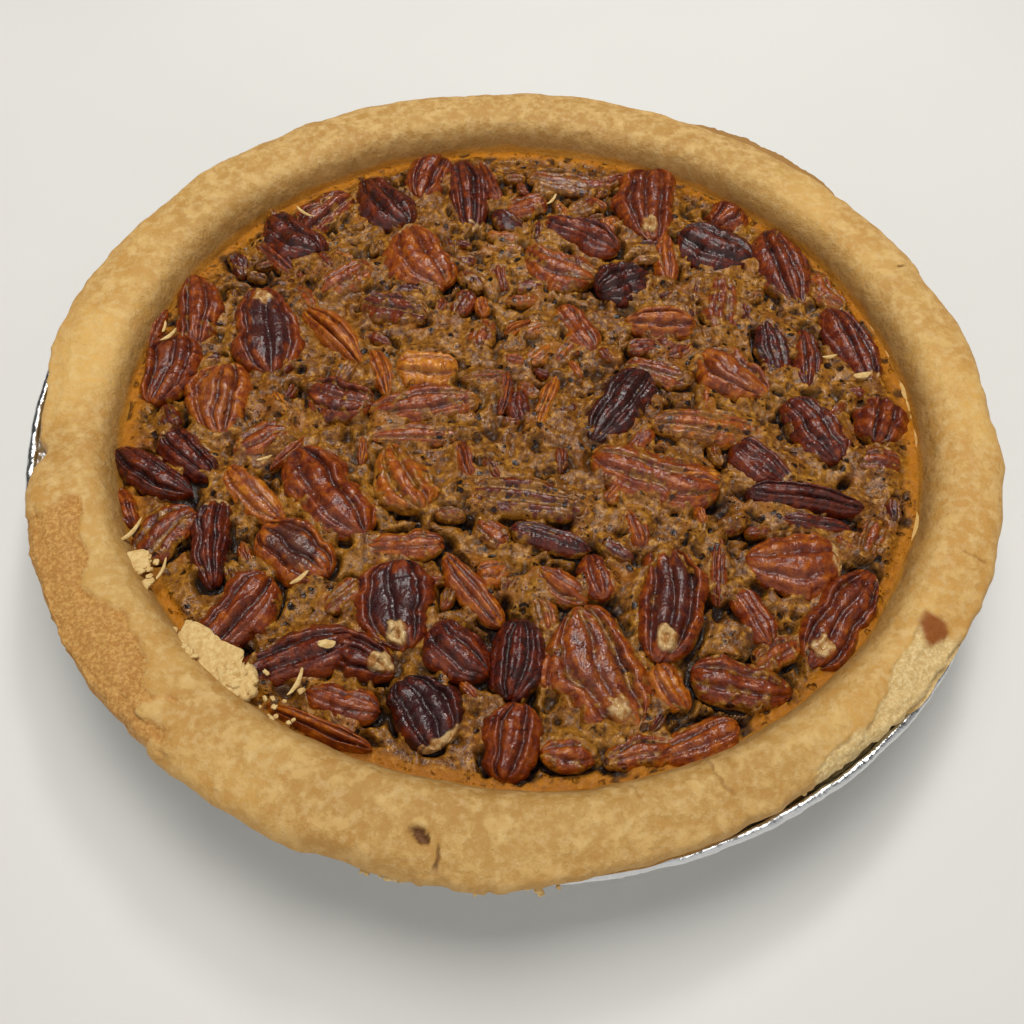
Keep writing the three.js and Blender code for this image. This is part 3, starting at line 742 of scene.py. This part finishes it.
def nut_shell(length, width, rise, looks, face_up, seed, grid=HALF_GRID):
    """A nut in its own frame and its masks. Its plan is a blunt, uneven oval. Across it stands a dome
    on a keel. A back has deep and shallow grooves that wander along it. A face has a hollow middle
    with a valley, and a border of knobs beyond two deep grooves. Froth covers what lies low."""
    _, tone, froth_on_it, stain, mark = looks
    luck = np.random.default_rng(seed)
    count_along, count_top, count_under = grid
    u = -np.cos(np.pi * np.linspace(0.035, 0.965, count_along))[None, :]
    top_side = -np.cos(np.pi * np.linspace(0, 1, count_top))
    under_side = np.cos(np.pi * np.linspace(0, 1, count_under + 2)[1:-1])
    s = np.concatenate([top_side, under_side])[:, None] + 0 * u
    upper = (np.arange(len(s)) < count_top)[:, None]
    u = u + 0 * s
    plan = (1 - np.abs(u) ** luck.uniform(2.3, 3.4)) ** 0.52 * (1 + luck.uniform(-0.2, 0.2) * u)
    sided = np.stack([u * 2.6, np.sign(s) * 4, 0 * s + seed], axis=-1)
    uneven = 0.15 * lattice_noise(sided, 1, seed) + 0.075 * lattice_noise(sided * 2.9, 1, seed + 1)
    plan = plan * (1 + uneven)
    ended = np.stack([s * 2, np.sign(u), 0 * s], axis=-1)
    x = length / 2 * u * (1 + 0.05 * lattice_noise(ended, 1, seed + 2))
    bend = luck.uniform(-0.14, 0.14) * width
    y = width / 2 * plan * s + bend * (u**2 - 0.35)
    own = np.stack([x, y, 0 * x + 7 * seed], axis=-1)
    along_wrinkle = lattice_noise(own * [0.38, 1.0, 1], 1, seed + 5)
    along_wrinkle = along_wrinkle + 0.5 * lattice_noise(own * [0.8, 2.1, 1], 1, seed + 6)
    cross_wrinkle = lattice_noise(own * [1.0, 0.4, 1], 1, seed + 7)
    cross_wrinkle = cross_wrinkle + 0.5 * lattice_noise(own * [2.0, 0.8, 1], 1, seed + 8)
    dome = np.clip(1 - np.abs(s) ** (2.9 if face_up else 2.2), 0, 1) ** 0.55
    groove = np.zeros_like(s)
    wander = np.stack([u * 2.2, s, 0 * s], axis=-1)
    border = smooth(np.abs(s), 0.5, 0.7) if face_up else 0.35 + 0 * s
    if face_up:
        dome = dome * (0.80 + 0.24 * border)
    for number, (middle, depth, breadth) in enumerate(FACE_GROOVES if face_up else BACK_GROOVES):
        line = s - middle - luck.uniform(-0.07, 0.07)
        line = line + 0.10 * lattice_noise(wander + 9 * number, 1, seed + 9)
        depth = depth * luck.uniform(0.55, 1.0)
        cut = depth * np.exp(-((line / (breadth * luck.uniform(0.75, 1.3))) ** 2))
        broken_up = 0.85 + 0.3 * lattice_noise(wander * 1.6 + 30 + number, 1, seed + 10)
        groove = np.maximum(groove, cut * broken_up)
    groove = np.clip(groove, 0, 1) * smooth(plan, 0.2, 0.6) * upper
    z = np.where(upper, rise * plan**0.7 * dome, -2.3 * plan * np.sqrt(np.clip(1 - s**2, 0, 1)))
    soft = plan * upper * smooth(dome, 0.1, 0.5)
    wrinkle = (1 - border) * along_wrinkle + border * 1.25 * cross_wrinkle
    swell = 0.09 * rise * lattice_noise(own, 4.5, seed + 14)
    z = z - 0.50 * rise * groove * soft + (0.17 * wrinkle + swell) * soft
    # Painted light: the grooves and the low folds of the wrinkles get a mask that darkens them as the shade
    # in them, and the raised wrinkles are a little paler, a painted highlight.
    folds = np.clip(-0.8 * wrinkle - 0.25, 0, 1) * upper
    pale = np.zeros_like(s)
    if mark == "nub":
        off = np.hypot((x - 0.66 * length / 2) / 3.1, y / 2.5) + 0.35 * lattice_noise(own, 1.3, seed + 11)
        pale = (1 - smooth(off, 0.75, 1.0)) * upper
        z = z + pale * (0.8 + 0.5 * cross_wrinkle) - 1.0 * (1 - smooth(off, 0.15, 0.42)) * upper
        groove = np.maximum(groove * (1 - pale), 0.8 * (1 - smooth(off, 0.12, 0.34)) * upper)
    elif mark:
        end = u if mark == "tip" else -u
        pale = smooth(end + 0.12 * cross_wrinkle, 0.80, 0.9) * upper
    from_middle = np.hypot(u / 0.85, s / 0.62) + 0.3 * along_wrinkle
    stained = stain * (1 - smooth(from_middle, 0.7, 1.1)) * (1 - pale)
    patchy = noises(own, seed + 12, (2.7, 1), (1.0, 0.8))
    cover = 1.1 * froth_on_it + 0.34 * patchy + 0.35 * groove * froth_on_it + 0.6 * (0.42 - z / rise)
    cover = smooth(cover, 0.44, 0.58) * (1 - 0.7 * pale)
    z = z + 0.34 * cover * soft * (0.6 + 0.6 * patchy)
    masks = {
        "tone": tone + 0.07 * patchy - 0.05 * wrinkle,
        "groove": np.maximum(groove, 0.6 * folds),
        "cover": cover,
        "stain": stained,
        "pale": pale,
    }
    return np.stack([x, y, z], axis=-1), masks


def laid(points, x, y, z, turn, roll=0.0, pitch=0.0):
    """Points rolled about their long axis, tipped about the other, turned and moved, in degrees."""
    spin = Matrix.Rotation(math.radians(turn), 3, "Z") @ Matrix.Rotation(math.radians(pitch), 3, "Y")
    spin = spin @ Matrix.Rotation(math.radians(roll), 3, "X")
    return points @ np.array(spin).T + np.array([x, y, z])


pecan_finish, tree, shader, where = new_material("baked_pecan")
froth_node = add(tree, "ShaderNodeGroup", node_tree=froth)
mottle = noise(tree, where, 0.45, detail=4, rough=0.6)
tone = maths(tree, "ADD", mask_of(tree, "tone"), steps(tree, mottle, 0.3, 0.7, -0.17, 0.17))
# The grooves are painted darker as shade.
tone = maths(tree, "ADD", tone, maths(tree, "MULTIPLY", mask_of(tree, "groove"), 0.22))
ramp = add(tree, "ShaderNodeValToRGB", {"Fac": tone})
PECAN_TONES = (
    (0.0, (0.64, 0.235, 0.016, 1)), (0.3, (0.43, 0.110, 0.005, 1)), (0.5, (0.270, 0.048, 0.003, 1)),
    (0.68, (0.160, 0.020, 0.002, 1)), (0.85, (0.088, 0.009, 0.004, 1)), (1.0, (0.034, 0.005, 0.004, 1)),
)
for position, colour in PECAN_TONES[1:-1]:
    ramp.color_ramp.elements.new(position).color = colour
ramp.color_ramp.elements[0].color = PECAN_TONES[0][1]
ramp.color_ramp.elements[-1].color = PECAN_TONES[-1][1]
meat = blended(tree, steps(tree, mottle, 0.4, 0.6), (0.40, 0.175, 0.040, 1), (0.66, 0.44, 0.19, 1))
layers = (
    ("stain", 0.88, (0.036, 0.008, 0.010, 1)),
    # The grooves and folds take a painted shade, near black.
    ("groove", 0.75, (0.020, 0.005, 0.003, 1)),
    ("pale", 1.0, meat),
    ("cover", 0.86, froth_node.outputs["Colour"]),
)
colour = layered(tree, ramp.outputs["Color"], layers)
height = maths(tree, "ADD", froth_node.outputs["Height"], noise(tree, where, 1.3, detail=3))
dressed(tree, shader, colour, steps(tree, mottle, 0.3, 0.7, 0.17, 0.34), height, 0.4)
glazed(tree, shader, where, 0.62, 0.085)

for number, (node, looks, spot) in enumerate(zip(NUT_NODES, NUT_LOOKS, nut_spots)):
    x, y, length, width, turn = spot
    luck = np.random.default_rng(100 + number)
    rise = FULL_RISE - 1.5 * looks[2] + luck.uniform(-0.3, 0.4)
    points, masks = nut_shell(length, width, rise, looks, "face" in node, 200 + 20 * number)
    points = laid(points, x, y, BASE_LINE, turn, luck.uniform(-6, 6), luck.uniform(-3.5, 3.5))
    place(skin(node + "_nut", [points], masks), pecan_finish, "pecan", node)

sunk_nuts = (("pecan_pieces", PIECES, 0, PIECE_GRID), ("pecan_scraps", scraps, len(PIECES), SCRAP_GRID))
for name, group, first, grid in sunk_nuts:
    shells = []
    shell_masks = []
    for number, (x, y, length, width, turn, tone, froth_on_it) in enumerate(group, first):
        luck = np.random.default_rng(700 + number)
        looks = (turn, tone, froth_on_it, 0.0, "")
        rise = 2.9 - 1.1 * froth_on_it + 0.06 * width
        points, masks = nut_shell(length, width, rise, looks, False, 2000 + 20 * number, grid)
        shells.append(laid(points, x, y, BASE_LINE, turn, luck.uniform(-9, 9), luck.uniform(-5, 5)))
        shell_masks.append(masks)
    joined_masks = {}
    for mask in shell_masks[0]:
        joined_masks[mask] = np.concatenate([masks[mask].ravel() for masks in shell_masks])
    place(skin(name, shells, joined_masks), pecan_finish, "pecan")

# The loose pastry
# Flakes broken off the rim lie on the custard at the left front, with crumbs and curls of skin. More
# crumbs cling under the front edge and lie on the flange, and a second layer looks out at the back.
FLAKE_TOP = 29.4


def crumb_shell(size, seed, block=2.6, around=20, along=13, shaken=1.0):
    """A lump with flat sides: a sphere stretched to size, its roundness set by the power of its
    outline, and its surface moved by a noise."""
    turn = np.linspace(0, 2 * np.pi, around, endpoint=False)[:, None]
    down = np.pi * np.linspace(0.04, 0.96, along)[None, :]
    level = np.sin(down)
    ball = np.stack([np.cos(turn) * level, np.sin(turn) * level, np.cos(down) + 0 * turn], axis=-1)
    ball = ball / (np.abs(ball) ** block).sum(-1, keepdims=True) ** (1 / block)
    shake = noises(ball + 3 * seed, seed, (0.6, 0.20), (0.27, 0.12))
    return ball * (1 + shaken * shake[..., None]) * np.array(size) / 2


def scattered(count, seed, spots, low, high):
    """Crumb shells round some spots (x, y, z, spread), their sizes between low and high."""
    luck = np.random.default_rng(seed)
    made = []
    for number in range(count):
        x, y, z, spread = spots[luck.integers(len(spots))]
        size = luck.uniform(low, high) * luck.uniform(0.6, 1.0, 3) * [1.2, 1.0, 0.45]
        off = luck.normal(0, spread, 2)
        points = crumb_shell(size, seed + 7 * number, block=4.5, around=16, along=10, shaken=1.7)
        made.append(laid(points, x + off[0], y + off[1], z, luck.uniform(0, 360), luck.uniform(-40, 40)))
    return made


flake_finish, tree, shader, where = new_material("pale_flake")
grain = noise(tree, where, 0.8, detail=5, rough=0.7)
colour = blended(tree, steps(tree, grain, 0.35, 0.65), (0.62, 0.38, 0.125, 1), (0.80, 0.58, 0.25, 1))
dressed(tree, shader, colour, 0.75, grain, 0.2)

large = crumb_shell((16.5, 11, 0.9), 3, block=5.0, around=96, along=40, shaken=0.8)
large = laid(large, -64, -78.5, FLAKE_TOP, turn=-30, roll=9, pitch=-4)
place(skin("loose_flake_large", [large]), flake_finish, "pastry", "flake_large")
crumbly_spots = [(-54.5, -85, FLAKE_TOP - 0.4, 2.6), (-57.5, -83, FLAKE_TOP, 1.6)]
crumbly = scattered(34, 41, crumbly_spots, 2.4, 5.2)
place(skin("loose_flake_crumbly", crumbly), flake_finish, "pastry", "flake_crumbly")
small = crumb_shell((7.5, 6, 1.3), 5, block=3.4, around=48, along=26)
small = laid(small, -85.5, -55.5, FLAKE_TOP - 1, turn=20, roll=6, pitch=4)
place(skin("loose_flake_small", [small]), flake_finish, "pastry", "flake_small")

crumb_spots = [
    (-72, -73, 28.2, 3.0), (-60, -84, 28.0, 3.5), (-82, -61, 28.2, 2.4), (-48, -88, 27.6, 3.0),
    (-83, -57, 28.4, 1.5), (-70, -81, 30.5, 2.5), (-52, -92, 29.0, 2.2),
]
loose_crumbs = scattered(90, 51, crumb_spots, 0.7, 1.9)
luck = np.random.default_rng(61)


def edge_crumb(size, bearing, near, far, seed, **shape):
    """A crumb on the flange at a bearing, somewhere between two radii."""
    radius = luck.uniform(near, far)
    points = crumb_shell(luck.uniform(*size, 3), seed, **shape)
    turn = luck.uniform(0, 360)
    height = luck.uniform(27.4, 28.6)
    return laid(points, radius * math.cos(bearing), radius * math.sin(bearing), height, turn)


CLUMPS = (260.3, 260.9, 268.6, 269.3, 273.7)  # bearings where crumbs cling under the front edge
for number in range(34):
    bearing = math.radians(luck.choice(CLUMPS) + luck.normal(0, 0.75))
    shape = {"around": 16, "along": 10, "shaken": 1.6}
    loose_crumbs.append(edge_crumb((0.7, 2.1), bearing, 121.6, 123.4, 900 + number, **shape))
for number in range(26):
    bearing = math.radians(luck.uniform(299, 328))
    shape = {"around": 12, "along": 8}
    loose_crumbs.append(edge_crumb((0.5, 1.4), bearing, 114.5, 119.5, 1200 + number, **shape))
place(skin("pastry_crumbs", loose_crumbs), flake_finish, "pastry")

CURLS = (  # x, y, z, length, width, turn
    (-88, -47.5, 28.4, 8, 1.5, 60), (-78.5, -57, 28.4, 6, 1.2, 80), (-43.4, -82.5, 28.6, 7.5, 1.6, 75),
    (-65, 64.5, 28.6, 7, 1.3, -33), (8, 76.5, 28.0, 6, 1.3, 65), (84, 19, 28.0, 4.5, 1.5, 20),
    (-93, 14, 28.6, 6, 1.6, 60), (-95, 17, 28.6, 4.5, 1.2, 95), (-38.5, -73.5, 29.2, 4, 3, 10),
    (-61, -24, 28.0, 4, 1.2, 30), (92, 13, 28.0, 5, 2.6, 20), (-47, -57, 28.3, 5, 1.6, 50),
)
curls = []
for number, (x, y, z, length, width, turn) in enumerate(CURLS):
    points = crumb_shell((length, 0.62 * width, 0.55), 300 + number, block=2.0, around=24, along=16)
    points[..., 1] += 0.05 * points[..., 0] ** 2
    points[..., 2] += 0.03 * points[..., 0] ** 2
    curls.append(laid(points, x, y, z, turn, 20, 5))
place(skin("pale_shards", curls), flake_finish, "pastry")

LAYER_BEARINGS = (41, 66)
LAYER_STEPS = 160
layer_turn = np.radians(np.linspace(*LAYER_BEARINGS, LAYER_STEPS))[None, :]
layer_ring = np.linspace(0, 2 * np.pi, 28, endpoint=False)[:, None]
layer_at = np.stack([120 * np.cos(layer_turn), 120 * np.sin(layer_turn), 0 * layer_turn], axis=-1)
layer_swell = np.sin(np.linspace(0.02, np.pi - 0.02, LAYER_STEPS))[None, :] ** 0.5
layer_out = 3.8 + noises(layer_at, 91, (2.4, 0.6), (1.1, 0.4))
layer_radius = 122.4 + layer_out * layer_swell * np.cos(layer_ring)
layer_height = 30.9 + 0.5 * lattice_noise(layer_at, 6, 93) + 0.7 * layer_swell * np.sin(layer_ring)
layer_x = layer_radius * np.cos(layer_turn)
layer_y = layer_radius * np.sin(layer_turn)
layer = np.stack([layer_x, layer_y, layer_height], axis=-1)
# The second layer takes the rim's three darker colours all over, the slope's painted shade among them.
layer_masks = {name: np.ones(layer.shape[:2]) for name in ("browner_front_back", "outer", "slope_syrup_and_shade")}
place(skin("second_layer", [layer], layer_masks), pastry_finish, "pastry")

# The floor, the light and the camera
# A plain pale floor, a soft pale world that is dimmer behind, a large soft lamp above, and a
# smaller one behind that puts the gloss on the syrup.
CAMERA_AIM = np.array([0.56, -30.82, 20.0]) * MM
CAMERA_DISTANCE = 249.55 * MM
CAMERA_ELEVATION = math.radians(57.156)
CAMERA_ROLL = math.radians(2.939)
SENSOR = 36.0
FOCAL_LENGTH = SENSOR * 1000 / 1024

bpy.ops.mesh.primitive_plane_add(size=4, location=(0, 0, -0.0002))
floor = bpy.context.object
floor.name = "floor"
floor_finish, tree, shader, where = new_material("pale_floor")
shade = noise(tree, where, 0.01, detail=2)
colour = blended(tree, shade, (0.74, 0.73, 0.70, 1), (0.80, 0.79, 0.76, 1))
fill(tree, shader, {"Base Color": colour, "Roughness": 0.5})
floor.data.materials.append(floor_finish)

world = bpy.data.worlds.new("soft_room")
world.use_nodes = True
tree = world.node_tree
look = add(tree, "ShaderNodeSeparateXYZ", {0: add(tree, "ShaderNodeTexCoord").outputs["Generated"]})
dimmer_behind = steps(tree, look.outputs["Y"], -0.6, 0.35, 0.66, 0.07)
tree.links.new(dimmer_behind, tree.nodes["Background"].inputs["Strength"])
tree.nodes["Background"].inputs["Color"].default_value = (1.0, 0.985, 0.95, 1)
bpy.context.scene.world = world


def lamp(name, at, aim, size, power, colour):
    """A square area lamp that looks from its place to a point."""
    light = bpy.data.lights.new(name, "AREA")
    light.size = size
    light.energy = power
    light.color = colour
    made = bpy.data.objects.new(name, light)
    turn = (Vector(at) - Vector(aim)).to_track_quat("Z", "Y").to_matrix().to_4x4()
    made.matrix_world = Matrix.Translation(at) @ turn
    bpy.context.scene.collection.objects.link(made)


lamp("key_lamp", (-0.02, 0.24, 1.0), (0, 0, 0.02), 0.60, 6.2, (1.0, 0.98, 0.94))
lamp("window_lamp", (0.12, 0.60, 0.90), (0, 0, 0.02), 0.18, 2.8, (1.0, 0.99, 0.97))

right = Vector((1, 0, 0))
up = Vector((0, math.sin(CAMERA_ELEVATION), math.cos(CAMERA_ELEVATION)))
back = Vector((0, -math.cos(CAMERA_ELEVATION), math.sin(CAMERA_ELEVATION)))
x_axis = math.cos(CAMERA_ROLL) * right + math.sin(CAMERA_ROLL) * up
y_axis = math.cos(CAMERA_ROLL) * up - math.sin(CAMERA_ROLL) * right
camera = bpy.data.objects.new("camera", bpy.data.cameras.new("camera"))
camera.data.sensor_width = SENSOR
camera.data.lens = FOCAL_LENGTH
camera.data.clip_start = 0.01
camera.matrix_world = (
    Matrix.Translation(Vector(CAMERA_AIM) + CAMERA_DISTANCE * back)
    @ Matrix((x_axis, y_axis, back)).transposed().to_4x4()
)
bpy.context.scene.collection.objects.link(camera)
bpy.context.scene.camera = camera
bpy.context.scene.view_settings.view_transform = "Standard"
